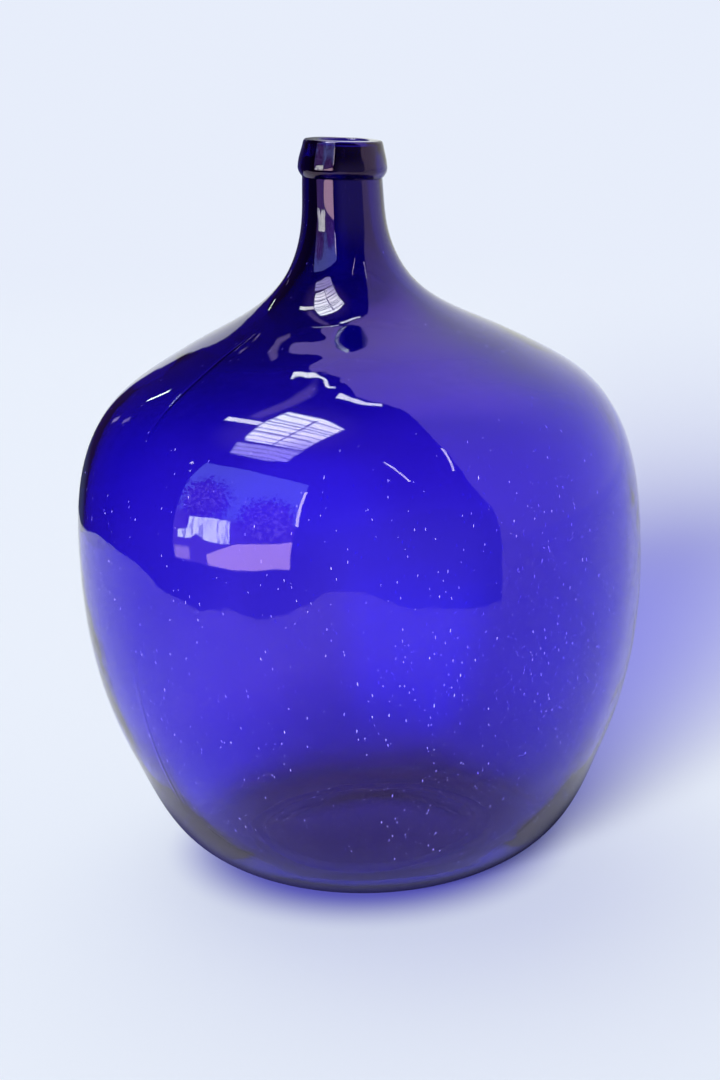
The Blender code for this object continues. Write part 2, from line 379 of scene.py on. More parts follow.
class Graph:
    """A node tree in the making."""

    def __init__(self, tree):
        self.tree = tree
        tree.nodes.clear()

    def feed(self, socket, value):
        """Gives a socket a term, a colour of three numbers or another plain value."""
        if isinstance(value, Term):
            self.tree.links.new(value.socket, socket)
        else:
            socket.default_value = opaque(value) if socket.type == "RGBA" else value

    def add(self, kind, inputs=(), output=0, **settings):
        """A node of any kind: its settings first, then what feeds its sockets."""
        node = self.tree.nodes.new(kind)
        for name, value in settings.items():
            setattr(node, name, value)
        for key, value in dict(inputs).items():
            self.feed(node.inputs[key], value)
        return Term(self, node.outputs[output]) if len(node.outputs) else node

    def other(self, term, output):
        """Another output of a term's node."""
        return Term(self, term.socket.node.outputs[output])

    def outputs(self, term):
        """What a term's node gives, by name, save its empty last socket."""
        return {socket.name: Term(self, socket) for socket in term.socket.node.outputs[:-1]}

    def rise(self, value, low, high):
        """Nought below low, one above high and a smooth rise between them."""
        sockets = {"Value": value, "From Min": low, "From Max": high}
        return self.add("ShaderNodeMapRange", sockets, interpolation_type="SMOOTHSTEP")

    def fall(self, value, low, high):
        """One below low, nought above high and a smooth fall between them."""
        return 1.0 - self.rise(value, low, high)

    def band(self, value, start, full, fade, end):
        """One between full and fade, and nought before start and past end."""
        return self.rise(value, start, full) * self.fall(value, fade, end)

    def share(self, value, low, high):
        """How far a value has come from low to high."""
        return self.add("ShaderNodeMapRange", {"Value": value, "From Min": low, "From Max": high})

    def mixed(self, share, first, second):
        """A shader between two, by a share."""
        return self.add("ShaderNodeMixShader", {0: share, 1: first, 2: second})

    def noise(self, place, scale, detail=2.0, roughness=0.5):
        """Cloudy noise between nought and one."""
        sockets = {"Vector": place, "Scale": scale, "Detail": detail, "Roughness": roughness}
        return self.add("ShaderNodeTexNoise", sockets)

    def attribute(self, name):
        """A number that the mesh carries."""
        return self.add("GeometryNodeInputNamedAttribute", {"Name": name}, data_type="FLOAT")

    def blend(self, share, first, second):
        """A colour between two, by a share."""
        sockets = {0: share, 6: first, 7: second}
        return self.add("ShaderNodeMix", sockets, output=2, data_type="RGBA")

    def lighter(self, first, share, second):
        """A colour and a share of another on top of it."""
        sockets = {0: share, 6: first, 7: second}
        return self.add("ShaderNodeMix", sockets, output=2, data_type="RGBA", blend_type="ADD")

    def curve(self, value, stops):
        """The height of a smooth curve through the stops, at a value."""
        places, heights = zip(*stops)
        least = min(heights)
        span = max(heights) - least
        reach = places[-1] - places[0]
        share = self.share(value, places[0], places[-1])
        curve = self.add("ShaderNodeFloatCurve", {"Factor": 1.0, "Value": share})
        mapping = curve.socket.node.mapping
        points = mapping.curves[0].points
        for place, height in stops[1:-1]:
            points.new((place - places[0]) / reach, (height - least) / span)
        points[0].location = (0.0, (heights[0] - least) / span)
        points[-1].location = (1.0, (heights[-1] - least) / span)
        mapping.update()
        return curve * span + least

    def dot(self, first, second):
        """The dot product of two vectors."""
        sockets = {0: first, 1: second}
        return self.add("ShaderNodeVectorMath", sockets, output="Value", operation="DOT_PRODUCT")

    def vectors(self, operation, *values):
        """What a Vector Math node makes of vectors."""
        return self.add("ShaderNodeVectorMath", dict(enumerate(values)), operation=operation)

    def scaled(self, vector, factor):
        """A vector times a number."""
        return self.add("ShaderNodeVectorMath", {0: vector, "Scale": factor}, operation="SCALE")

    def parts(self, vector):
        """The three numbers of a vector."""
        x = self.add("ShaderNodeSeparateXYZ", {0: vector})
        return x, self.other(x, 1), self.other(x, 2)


def opaque(rgb):
    """A colour with its fourth number."""
    return (*rgb, 1.0)


# Outlines of the glass

def station(radius, height, slope):
    """A place on the outline, and the direction in degrees in which the outline leaves it."""
    return Vector((radius, 0.0, height)), math.radians(slope)


def arc_slope(across, rise):
    """The slope at the end of an arc that sets off level and ends that far across and up."""
    return math.degrees(2.0 * math.atan2(rise, across))


def smooth_line(stations, surface):
    """Points of a smooth line through the stations, in round arcs as nearly as they allow."""
    points = [stations[0][0]]
    for (start, out), (end, into) in zip(stations, stations[1:]):
        turn = abs(into - out)
        chord = (end - start).length
        pull = chord / 3.0
        if turn > math.radians(0.5):
            pull = chord * 2.0 / 3.0 * math.tan(turn / 4.0) / math.sin(turn / 2.0)
        first = start + pull * Vector((math.cos(out), 0.0, math.sin(out)))
        second = end - pull * Vector((math.cos(into), 0.0, math.sin(into)))
        steps = max(math.degrees(turn) / surface.turn, chord / surface.longest)
        points += interpolate_bezier(start, first, second, end, max(2, math.ceil(steps)) + 1)[1:]
    return points


def straight_line(start, end, surface):
    """Points along a straight stretch, its start left out."""
    steps = max(1, math.ceil((end - start).length / surface.longest))
    return [start.lerp(end, step / steps) for step in range(1, steps + 1)]


def wall_stations(shape):
    """Stations of the outside from the standing ring to the neck, each with its wall."""
    places = [(*station(shape.ring_outer, 0.0, shape.ring_slope), shape.ring_wall)]
    lower_walls = (shape.heel_wall, shape.lower_wall)
    for (out, up), slope, wall in zip(LOWER_OUTLINE_SHARES, LOWER_SLOPES, lower_walls):
        radius = shape.ring_outer + out * (shape.belly_radius - shape.ring_outer)
        places.append((*station(radius, up * shape.belly_level, slope), wall))
    places.append((*station(shape.belly_radius, shape.belly_level, 90.0), shape.belly_wall))
    upper_walls = (
        shape.shoulder_wall, shape.upper_shoulder_wall, shape.neck_root_wall, shape.neck_wall
    )
    for (out, up), slope, wall in zip(UPPER_OUTLINE_SHARES, UPPER_SLOPES, upper_walls):
        radius = shape.neck_radius + out * (shape.belly_radius - shape.neck_radius)
        places.append((*station(radius, shape.belly_level + up * shape.shoulder_rise, slope), wall))
    places.append((*station(shape.neck_radius, shape.lip_foot, NECK_TOP_SLOPE), shape.neck_wall))
    return places


def inside_station(place, direction, wall):
    """The station on the inside of the glass, across the wall from one on the outside."""
    across = Vector((-math.sin(direction), 0.0, math.cos(direction)))
    return place + wall * across, direction


def body_outline(shape, surface):
    """The body's cross-section, from the axis under the base to the axis inside it."""
    outside = wall_stations(shape)
    base = smooth_line([
        station(0.0, shape.push_up, 0.0),
        station(shape.ring_inner, 0.0, arc_slope(shape.ring_inner, -shape.push_up)),
    ], surface)
    ring = straight_line(base[-1], outside[0][0], surface)[:-1]
    wall = smooth_line([(place, direction) for place, direction, _ in outside], surface)
    valley_radius = (shape.ring_inner + shape.ring_outer) / 2.0
    crown_level = shape.push_up + shape.base_wall
    flank_slope = arc_slope(valley_radius, shape.ring_wall - crown_level)
    cavity = smooth_line([
        station(0.0, crown_level, 0.0),
        station(valley_radius / 2.0, (crown_level + shape.ring_wall) / 2.0, flank_slope),
        station(valley_radius, shape.ring_wall, 0.0),
        *[inside_station(*outer) for outer in outside[1:]],
    ], surface)
    seat = [
        Vector((shape.seat_radius, 0.0, shape.lip_foot)),
        Vector((shape.seat_radius, 0.0, shape.rim_level)),
        Vector((shape.bore_radius, 0.0, shape.rim_level)),
    ]
    skins = [0.0] * len(base + ring + wall + seat) + [1.0] * len(cavity)
    return base + ring + wall + seat + cavity[::-1], skins


def lip_outline(shape, surface):
    """The lip's cross-section, a closed loop that starts inside the mouth and runs outwards."""
    rim_top = shape.height - shape.rim_cover
    foot = shape.lip_foot + shape.gap
    socket = shape.seat_radius + shape.gap
    top_radius = shape.neck_radius - shape.top_inset
    flare = smooth_line([
        station(shape.neck_radius + shape.foot_overhang, foot, shape.bevel_slope),
        station(shape.neck_radius + shape.ridge_overhang, shape.height - shape.ridge_drop, 90.0),
        station(top_radius, shape.height - shape.edge_fillet, shape.flare_slope),
        station(top_radius - shape.edge_fillet, shape.height, 180.0),
    ], surface)
    mouth = smooth_line([
        station(shape.bore_radius + shape.mouth_fillet, shape.height, 180.0),
        station(shape.bore_radius, shape.height - shape.mouth_fillet, 270.0),
    ], surface)
    under = [
        Vector((shape.bore_radius, 0.0, rim_top)),
        Vector((socket, 0.0, rim_top)),
        Vector((socket, 0.0, foot)),
    ]
    points = under + flare + mouth
    skins = [1.0] * len(under) + [0.0] * len(flare + mouth)
    return points + points[:1], skins + skins[:1]


def ease(value, low, high):
    """Nought below low, one above high and a smooth rise between them."""
    share = min(max((value - low) / (high - low), 0.0), 1.0)
    return share * share * (3.0 - 2.0 * share)


def outline_object(name, points, skins, waves):
    """The outline as a wire, with which skin each point is on and how far it may wave."""
    mesh = bpy.data.meshes.new(name)
    mesh.from_pydata(points, [(index, index + 1) for index in range(len(points) - 1)], [])
    mesh.attributes.new("skin", "FLOAT", "POINT").data.foreach_set("value", skins)
    mesh.attributes.new("wave", "FLOAT", "POINT").data.foreach_set("value", waves)
    wire = bpy.data.objects.new(name, mesh)
    bpy.context.scene.collection.objects.link(wire)
    return wire


# Turning the outline into glass

def new_tree(name, inputs):
    """The graph of a new geometry node tree, and what it is given, by name."""
    tree = bpy.data.node_groups.new(name, "GeometryNodeTree")
    for kind, labels in inputs.items():
        for label in labels:
            tree.interface.new_socket(label, in_out="INPUT", socket_type=f"NodeSocket{kind}")
    tree.interface.new_socket("Geometry", in_out="OUTPUT", socket_type="NodeSocketGeometry")
    graph = Graph(tree)
    return graph, graph.outputs(graph.add("NodeGroupInput"))


def finished_tree(graph, geometry, material):
    """The tree, ended with its geometry made real and its material set."""
    real = graph.add("GeometryNodeRealizeInstances", {"Geometry": geometry})
    finished = graph.add("GeometryNodeSetMaterial", {"Geometry": real, "Material": material})
    graph.add("NodeGroupOutput", {"Geometry": finished})
    return graph.tree


def turning_tree():
    """Geometry nodes that turn an outline about Z and give it its lean, tilt and waves."""
    graph, given = new_tree("turned glass", TURNING_INPUTS)
    outline = given["Outline"]
    count = graph.add("GeometryNodeAttributeDomainSize", {0: outline}, component="MESH")
    sheet = graph.add("GeometryNodeMeshGrid", {"Vertices X": given["Steps"] + 1, "Vertices Y": count})
    index = graph.add("GeometryNodeInputIndex")
    turn = (index / count).math("FLOOR")
    along = index - turn * count
    even = turn / given["Steps"] * math.tau
    # Steps crowd towards the two seams, half a turn apart, so that a seam can be a fine ridge
    off_seam = (even + math.pi / 2.0).math("FLOORED_MODULO", math.pi) - math.pi / 2.0
    crowding = (abs(off_seam) / SEAM_REACH).math("MINIMUM", 1.0)
    bearing = even - off_seam * (1.0 - crowding) - given["Seam Azimuth"]
    from_seam = abs(off_seam) * crowding

    def read(data_type, value):
        sockets = {"Geometry": outline, "Value": value, "Index": along}
        return graph.add("GeometryNodeSampleIndex", sockets, data_type=data_type, domain="POINT")

    radius, _, height = graph.parts(read("FLOAT_VECTOR", graph.add("GeometryNodeInputPosition")))
    skin = read("FLOAT", graph.attribute("skin"))
    wave = read("FLOAT", graph.attribute("wave"))
    across = radius * bearing.math("SINE")
    aside = -(radius * bearing.math("COSINE"))
    level = height / given["Height"]
    stands = graph.rise(height, given["Seam Foot"], given["Seam Foot"] * 3.0) * SEAM_REST_SHARE
    for *places, share in SEAM_STRETCHES:
        stands = stands + graph.band(level, *places) * share
    stands = stands * graph.fall(height, given["Neck Root"], given["Lip Foot"])
    ridge = graph.fall(from_seam * radius, 0.0, given["Seam Width"])
    swell = graph.band(
        height, SWELL_LEVEL - SWELL_REACH, SWELL_LEVEL, SWELL_LEVEL, SWELL_LEVEL + SWELL_REACH
    )
    seam = (ridge * stands * given["Seam Height"] + swell * SWELL_HEIGHT) * (1.0 - skin)

    share = graph.share(height, given["Lean Start"], given["Height"])
    lean = graph.rise(height, given["Lean Start"], given["Height"])
    belly_lean = graph.rise(given["Belly Level"], given["Lean Start"], given["Height"])
    offset = (belly_lean - lean) * given["Lean"]
    # The slope of the smooth rise that the lean follows
    slope = given["Lean"] * 6.0 * share * (1.0 - share) / (given["Height"] - given["Lean Start"])
    bend = slope.math("ARCTANGENT")
    tilt = graph.rise(height, given["Neck Root"], given["Lip Foot"]) * given["Tilt"].math("TANGENT")
    above = (height - given["Lip Foot"]).math("MAXIMUM", 0.0)
    place = graph.add("ShaderNodeCombineXYZ", {
        "X": offset + across * bend.math("COSINE") + above * tilt,
        "Y": aside,
        "Z": height + across * (bend.math("SINE") - tilt),
    })

    turned = graph.add("GeometryNodeSetPosition", {"Geometry": sheet, "Position": place})
    for name, value in (("skin", skin), ("wave", wave), ("seam", seam)):
        sockets = {"Geometry": turned, "Name": name, "Value": value}
        turned = graph.add("GeometryNodeStoreNamedAttribute", sockets, data_type="FLOAT", domain="POINT")
    # Storing comes after moving, so that the outline is still read by the sheet's own index
    closed = graph.add("GeometryNodeMergeByDistance", {"Geometry": turned, "Distance": MERGE_DISTANCE})
    noise = graph.add("ShaderNodeTexNoise", {
        "Vector": graph.scaled(graph.add("GeometryNodeInputPosition"), 1.0 / given["Wave Length"]),
        "W": graph.attribute("skin") * SKIN_STEP + given["Wave Seed"],
        "Scale": 1.0,
        "Detail": 1.0,
    }, noise_dimensions="4D")
    push = (noise - 0.5) * 2.0 * graph.attribute("wave") + graph.attribute("seam")
    push = graph.scaled(graph.add("GeometryNodeInputNormal"), push)
    waved = graph.add("GeometryNodeSetPosition", {"Geometry": closed, "Offset": push})
    smooth = graph.add("GeometryNodeSetShadeSmooth", {"Geometry": waved}, domain="FACE")
    sockets = {0: graph.add("GeometryNodeInputMeshEdgeAngle"), 1: SHARP_ANGLE}
    soft = graph.add("FunctionNodeCompare", sockets, operation="LESS_THAN", data_type="FLOAT")
    sockets = {"Geometry": smooth, "Shade Smooth": soft}
    shaded = graph.add("GeometryNodeSetShadeSmooth", sockets, domain="EDGE")
    return finished_tree(graph, shaded, given["Glass"])


def set_inputs(modifier, values):
    """Sets a geometry node modifier's inputs, found by name and set by identifier."""
    for item in modifier.node_group.interface.items_tree:
        if item.in_out == "INPUT" and item.name in values:
            modifier[item.identifier] = values[item.name]


def made_solid(carrier, name):
    """A plain mesh object from what a carrier's modifiers make; the carrier goes."""
    bpy.context.view_layer.update()
    evaluated = carrier.evaluated_get(bpy.context.evaluated_depsgraph_get())
    mesh = bpy.data.meshes.new_from_object(evaluated)
    bpy.data.objects.remove(carrier)
    mesh.name = name
    piece = bpy.data.objects.new(name, mesh)
    bpy.context.scene.collection.objects.link(piece)
    return piece


def turned(name, outline, waves, material, shape, surface, wave_length, seam_height=0.0):
    """A turned piece of glass from its outline."""
    points, skins = outline
    wire = outline_object(name + " outline", points, skins, waves)
    modifier = wire.modifiers.new("turning", "NODES")
    modifier.node_group = bpy.data.node_groups.get("turned glass") or turning_tree()
    set_inputs(modifier, {
        "Steps": surface.steps,
        "Height": shape.height,
        "Belly Level": shape.belly_level,
        "Lean": shape.lean,
        "Lean Start": LEAN_START_SHARE * shape.height,
        "Neck Root": shape.neck_root,
        "Lip Foot": shape.lip_foot,
        "Tilt": shape.lip_tilt,
        "Wave Length": wave_length,
        "Wave Seed": float(surface.wave_seed),
        "Seam Azimuth": surface.seam_azimuth,
        "Seam Height": seam_height,
        "Seam Width": surface.seam_width,
        "Seam Foot": shape.heel_wall,
        "Glass": material,
    })
    piece = made_solid(wire, name)
    if not piece.data.polygons:
        raise RuntimeError(f"{name} has no faces")
    return piece


# Materials

def new_material(name):
    """An empty material and its graph."""
    material = bpy.data.materials.new(name)
    material.use_nodes = True
    return material, Graph(material.node_tree)


def uneven_skin(graph, place, glass):
    """The normal of a fire-polished skin: faint waves, drawn out round the bottle."""
    drawn = graph.vectors("MULTIPLY", place, (1.0, 1.0, 1.6))
    waves = graph.noise(drawn, glass.unevenness_scale, 1.5, 0.4)
    return graph.add("ShaderNodeBump", {"Strength": 1.0, "Distance": glass.unevenness, "Height": waves})


def lets_light_by(graph, shader, tint):
    """The shader, which light on its way to other surfaces passes straight through."""
    shadow = graph.add("ShaderNodeLightPath", output="Is Shadow Ray")
    scattered = graph.other(shadow, "Is Diffuse Ray")
    clear = graph.add("ShaderNodeBsdfTransparent", {"Color": tint})
    return graph.mixed(shadow.math("MAXIMUM", scattered), shader, clear)


def glass_material(name, glass, colour_through, density, tint):
    """Clear blown glass, coloured through its thickness and darker where tint says so, with painted
    shade on edges seen edge on where tint asks for it.
    """
    material, graph = new_material(name)
    place = graph.add("ShaderNodeTexCoord", output="Object")
    shade, painted_light_green, edge = tint(graph, place)
    # The skin's colour: its shade, with the green share that paints the lighter belt
    skin = graph.add("ShaderNodeCombineColor", {0: shade, 1: shade * painted_light_green, 2: shade})
    shader = graph.add("ShaderNodeBsdfPrincipled", {
        "Base Color": skin,
        "Roughness": glass.roughness,
        "IOR": glass.ior,
        "Specular Tint": glass.gloss_tint,
        "Transmission Weight": 1.0,
        "Normal": uneven_skin(graph, place, glass),
    })
    # Painted shade: a dark diffuse colour mixed in where the skin turns edge on to the eye
    facing = graph.add("ShaderNodeLayerWeight", {"Blend": 0.5}, output="Facing")
    painted_edge_dark = graph.add("ShaderNodeBsdfDiffuse", {"Color": PAINTED_EDGE_SHADE})
    shader = graph.mixed(edge * graph.rise(facing, *PAINTED_EDGE_SHADE_FACING), shader, painted_edge_dark)
    inside = graph.add("ShaderNodeVolumeAbsorption", {"Color": colour_through, "Density": density})
    surface = lets_light_by(graph, shader, graph.blend(shade, DEEP_LETS_BY, SKIN_LETS_BY))
    graph.add("ShaderNodeOutputMaterial", {"Surface": surface, "Volume": inside})
    material.diffuse_color = opaque(colour_through)
    return material


def body_glass(glass, shape):
    """The body's glass: darker up the shoulder and neck, and in the thick base, with a painted lighter
    belt low on the belly and painted shade where it is seen edge on.
    """
    def tint(graph, place):
        x, y, z = graph.parts(place)
        radius = (x * x + y * y).math("SQRT")
        up = graph.rise(z, TINT_FOOT, shape.neck_root - TINT_TOP_DROP)
        on_neck = graph.rise(z, shape.neck_root, shape.neck_bottom)
        # Lighter towards the right of the shoulder, and darker on the left of the neck
        lighter_right_side = graph.rise(x, *(share * shape.neck_radius for share in LIGHTER_RIGHT_SIDE)) * (1.0 - on_neck)
        darker_left_side = graph.fall(x, *(share * shape.neck_radius for share in DARKER_LEFT_SIDE)) * on_neck
        least = glass.neck_tint + lighter_right_side * (glass.right_side_tint - glass.neck_tint)
        least = least * (1.0 - darker_left_side * DARKER_LEFT_DEPTH)
        base = graph.fall(radius, *(share * shape.ring_outer for share in BASE_FADES))
        base = base * graph.fall(z, *(share * shape.push_up for share in BASE_TOP))
        shade = (1.0 - up * (1.0 - least)) * (1.0 - base * (1.0 - glass.base_tint))
        # Painted light: a lighter, greener belt round the lower belly
        painted_light_green = graph.band(z, *PAINTED_LIGHT_BELT) * (1.0 - GREEN_OUTSIDE_LIGHT_BELT) + GREEN_OUTSIDE_LIGHT_BELT
        # Painted shade on the heel where it is seen edge on, and on the neck's left side
        heel = graph.fall(z, *HEEL_PAINTED_SHADE) * PAINTED_EDGE_SHADE_DEPTHS[0]
        return shade, painted_light_green, heel.math("MAXIMUM", darker_left_side * PAINTED_EDGE_SHADE_DEPTHS[1])
    return glass_material("blown glass", glass, glass.body_colour, glass.body_density, tint)


def lip_glass(glass):
    """The lip's glass, the same batch in a thicker lump."""
    def tint(graph, place):
        mottle = 0.9 + 0.2 * graph.noise(place, 60.0)
        x, _, _ = graph.parts(place)
        # Painted shade on the lip's left side where it is seen edge on
        return glass.lip_tint * mottle, 1.0, graph.fall(x, *LIP_PAINTED_SHADE) * PAINTED_EDGE_SHADE_DEPTHS[2]
    return glass_material("lip glass", glass, glass.lip_colour, glass.lip_density, tint)


def bubble_painted_glint(glass):
    """A bubble of air in the glass, painted pale and partly see-through in place of the light that its
    skin mirrors.
    """
    material, graph = new_material("seed bubble")
    place = graph.add("ShaderNodeTexCoord", output="Object")
    mottle = graph.noise(place, 90.0)
    shader = graph.add("ShaderNodeBsdfPrincipled", {
        # Painted reflection: a pale colour for the glints that a bubble's skin mirrors
        "Base Color": graph.blend(mottle, (0.70, 0.74, 1.0), (0.95, 0.95, 1.0)),
        "Roughness": 0.3,
        "Alpha": 0.65,
    })
    surface = lets_light_by(graph, shader, SKIN_LETS_BY)
    graph.add("ShaderNodeOutputMaterial", {"Surface": surface})
    material.diffuse_color = opaque((0.7, 0.7, 0.9))
    return material


# Bubbles in the wall

def seed_tree():
    """Geometry nodes that scatter long bubbles in the wall, along the way it was drawn."""
    graph, given = new_tree("seed bubbles", SEED_INPUTS)
    place = graph.add("GeometryNodeInputPosition")
    x, _, z = graph.parts(place)
    below = graph.fall(z, given["Highest"] * SEED_FADES[0], given["Highest"] * SEED_FADES[1])
    above = graph.rise(z, given["Lowest"], given["Lowest"] * 2.0)
    aside = 0.5 + 0.5 * graph.rise(x, given["Side"] * -0.2, given["Side"])
    crowd = graph.rise(graph.noise(place, SEED_CLOUDS, 1.0), 0.35, 0.65) * 0.5 + 0.5
    density = given["Density"] * (FEWEST_SEEDS + (1.0 - FEWEST_SEEDS) * below) * above * aside * crowd
    sockets = {0: graph.attribute("skin"), 1: 0.5}
    outer = graph.add("FunctionNodeCompare", sockets, operation="LESS_THAN", data_type="FLOAT")
    points = graph.add("GeometryNodeDistributePointsOnFaces", {
        "Mesh": given["Body"], "Selection": outer, "Density": density, "Seed": given["Seed"],
    }, distribute_method="RANDOM")
    normal = graph.other(points, "Normal")

    def chance(low, high, offset):
        first, output, kind = (0, 0, "FLOAT_VECTOR") if isinstance(low, tuple) else (2, 1, "FLOAT")
        sockets = {first: low, first + 1: high, "Seed": given["Seed"] + offset}
        return graph.add("FunctionNodeRandomValue", sockets, output=output, data_type=kind)

    level = graph.vectors("CROSS_PRODUCT", (0.0, 0.0, 1.0), normal)
    upright = graph.vectors("NORMALIZE", graph.vectors("CROSS_PRODUCT", normal, level))
    stray = chance((-0.2, -0.2, -0.2), (0.2, 0.2, 0.2), 1)
    along = graph.vectors("ADD", upright, stray)
    turn = graph.add("FunctionNodeAlignRotationToVector", {"Vector": along}, axis="Z")
    sink = graph.scaled(normal, given["Depth"] * chance(-1.5, -0.6, 2))
    sunk = graph.add("GeometryNodeSetPosition", {"Geometry": points, "Offset": sink})
    # Most bubbles are small, and a few are large
    large = chance(0.0, 1.0, 3).math("POWER", 2.0)
    width = given["Width"] * (0.5 + 0.5 * large)
    size = graph.add("ShaderNodeCombineXYZ", {
        "X": width, "Y": width, "Z": given["Length"] * (0.3 + 0.7 * large) * chance(0.6, 1.0, 4),
    })
    bubble = graph.add("GeometryNodeMeshUVSphere", {"Segments": 5, "Rings": 4, "Radius": 0.5})
    round_bubble = graph.add("GeometryNodeSetShadeSmooth", {"Geometry": bubble}, domain="FACE")
    seeds = graph.add("GeometryNodeInstanceOnPoints", {
        "Points": sunk, "Instance": round_bubble, "Rotation": turn, "Scale": size,
    })
    return finished_tree(graph, seeds, given["Air"])


# Operators

class MakeBody(bpy.types.Operator):
    """Blow the body: shoulder, belly, heel and pushed-up base in one piece of glass"""

    bl_idname = "demijohn.make_body"
    bl_label = "Blow the Body"

    def execute(self, context):
        shape = context.scene.demijohn_shape
        surface = context.scene.demijohn_surface
        glass = context.scene.demijohn_glass
        points, skins = body_outline(shape, surface)
        waves = []
        for place, skin in zip(points, skins):
            free = ease(place.z, *WAVE_FOOT) * (1.0 - ease(place.z, shape.neck_root, shape.neck_bottom))
            if skin and place.x < shape.ring_inner:
                free = 0.0
            waves.append(free * (surface.inside_wave if skin else surface.outside_wave))
        piece = turned(
            "blown_glass_body", (points, skins), waves, body_glass(glass, shape), shape, surface,
            surface.wave_length, surface.seam_height
        )
        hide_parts("blown_body")
        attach(piece, "root")
        return {"FINISHED"}


class MakeLip(bpy.types.Operator):
    """Lay the lip: a second gather of glass round the end of the neck"""

    bl_idname = "demijohn.make_lip"
    bl_label = "Lay the Lip"

    def execute(self, context):
        shape = context.scene.demijohn_shape
        surface = context.scene.demijohn_surface
        glass = context.scene.demijohn_glass
        points, skins = lip_outline(shape, surface)
        waves = [0.0 if skin else surface.lip_wave for skin in skins]
        piece = turned(
            "glass_lip", (points, skins), waves, lip_glass(glass), shape, surface,
            surface.lip_wave_length
        )
        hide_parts("applied_lip")
        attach(piece, "root")
        return {"FINISHED"}


class MakeSeeds(bpy.types.Operator):
    """Scatter the seeds: small long bubbles caught in the body's wall"""

    bl_idname = "demijohn.make_seeds"
    bl_label = "Scatter the Seeds"

    def execute(self, context):
        shape = context.scene.demijohn_shape
        seeds = context.scene.demijohn_seeds
        glass = context.scene.demijohn_glass
        body = bpy.data.objects["blown_glass_body"]
        carrier = bpy.data.objects.new("seed carrier", body.data.copy())
        context.scene.collection.objects.link(carrier)
        modifier = carrier.modifiers.new("scatter", "NODES")
        modifier.node_group = seed_tree()
        set_inputs(modifier, {
            "Density": seeds.density,
            "Length": seeds.bubble_length,
            "Width": seeds.bubble_width,
            "Depth": seeds.depth,
            "Lowest": seeds.lowest,
            "Highest": seeds.highest,
            "Side": shape.belly_radius * 0.6,
            "Seed": seeds.seed,
            "Air": bubble_painted_glint(glass),
        })
        piece = made_solid(carrier, "seed_bubbles")
        if not piece.data.polygons:
            raise RuntimeError("no bubbles were scattered")
        for mesh in (piece.data, body.data):
            for name in ("skin", "wave", "seam"):
                if name in mesh.attributes:
                    mesh.attributes.remove(mesh.attributes[name])
        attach(piece, "root")
        return {"FINISHED"}


def direction(azimuth, elevation):
    """A unit vector: azimuth 0 is towards the camera and grows to the viewer's right."""
    a = math.radians(azimuth)
    e = math.radians(elevation)
    return Vector((math.sin(a) * math.cos(e), -math.cos(a) * math.cos(e), math.sin(e)))


# Edge of the pale floor on the darker side: azimuth in degrees, distance from the bottle
FLOOR_EDGE = (
    (-165.0, 1.45), (-150.0, 1.40), (-111.0, 1.74), (-74.0, 1.20), (-45.0, 1.13), (-20.0, 1.29),
    (-3.0, 1.68), (8.0, 1.42), (25.0, 1.24), (46.0, 1.18), (56.0, 1.70),
)

# Painted shadow on the floor round the foot, darker and bluer as if shaded by the heel and lit through
# it:
# radii where it begins and is full, radii where it fades, and its share under the bottle
PAINTED_FOOT_SHADOW_START = (0.085, 0.112)
PAINTED_FOOT_SHADOW_END = (0.105, 0.178)
PAINTED_FOOT_SHADOW_UNDER = 0.40

# Edges of the pale backdrop, with azimuths that grow from 0 to 360 degrees: on its left and its
# right an azimuth for each elevation, and above it an elevation for each azimuth
BACKDROP_LEFT = (
    (-14.0, 196.0), (-6.0, 194.5), (2.0, 194.0), (8.6, 195.8), (16.0, 197.8), (28.0, 200.0),
    (40.0, 202.6), (51.6, 202.5), (55.1, 200.5), (57.5, 197.8), (59.2, 195.3), (60.4, 194.3),
    (60.9, 197.5), (61.6, 201.0), (63.2, 202.0), (65.2, 199.0), (67.0, 193.3), (68.8, 184.5),
    (70.5, 182.0), (76.0, 177.0),
)
BACKDROP_RIGHT = ((-14.0, 57.0), (8.0, 56.5), (20.0, 52.0), (37.0, 49.6), (50.0, 50.5))
BACKDROP_TOP = (
    (49.0, 40.0), (53.0, 52.0), (59.2, 62.5), (72.0, 69.5), (85.0, 73.0), (115.0, 75.4), (144.0, 74.1),
    (160.0, 73.2), (171.4, 72.9), (180.0, 71.5), (186.0, 70.2), (207.0, 70.0),
)


def sight(graph):
    """What the ray is: straight sight, sight by a mirroring, and sight by one inside the glass."""
    camera = graph.add("ShaderNodeLightPath", output="Is Camera Ray")
    glossy = graph.other(camera, "Is Glossy Ray")
    through = graph.other(camera, "Is Transmission Ray")
    scattered = graph.other(camera, "Diffuse Depth").math("MINIMUM", 1.0)
    seen = camera.math("MAXIMUM", glossy.math("MAXIMUM", through)) * (1.0 - scattered)
    mirrored = graph.other(camera, "Glossy Depth").math("MINIMUM", 1.0) * seen
    return seen, mirrored, mirrored * through


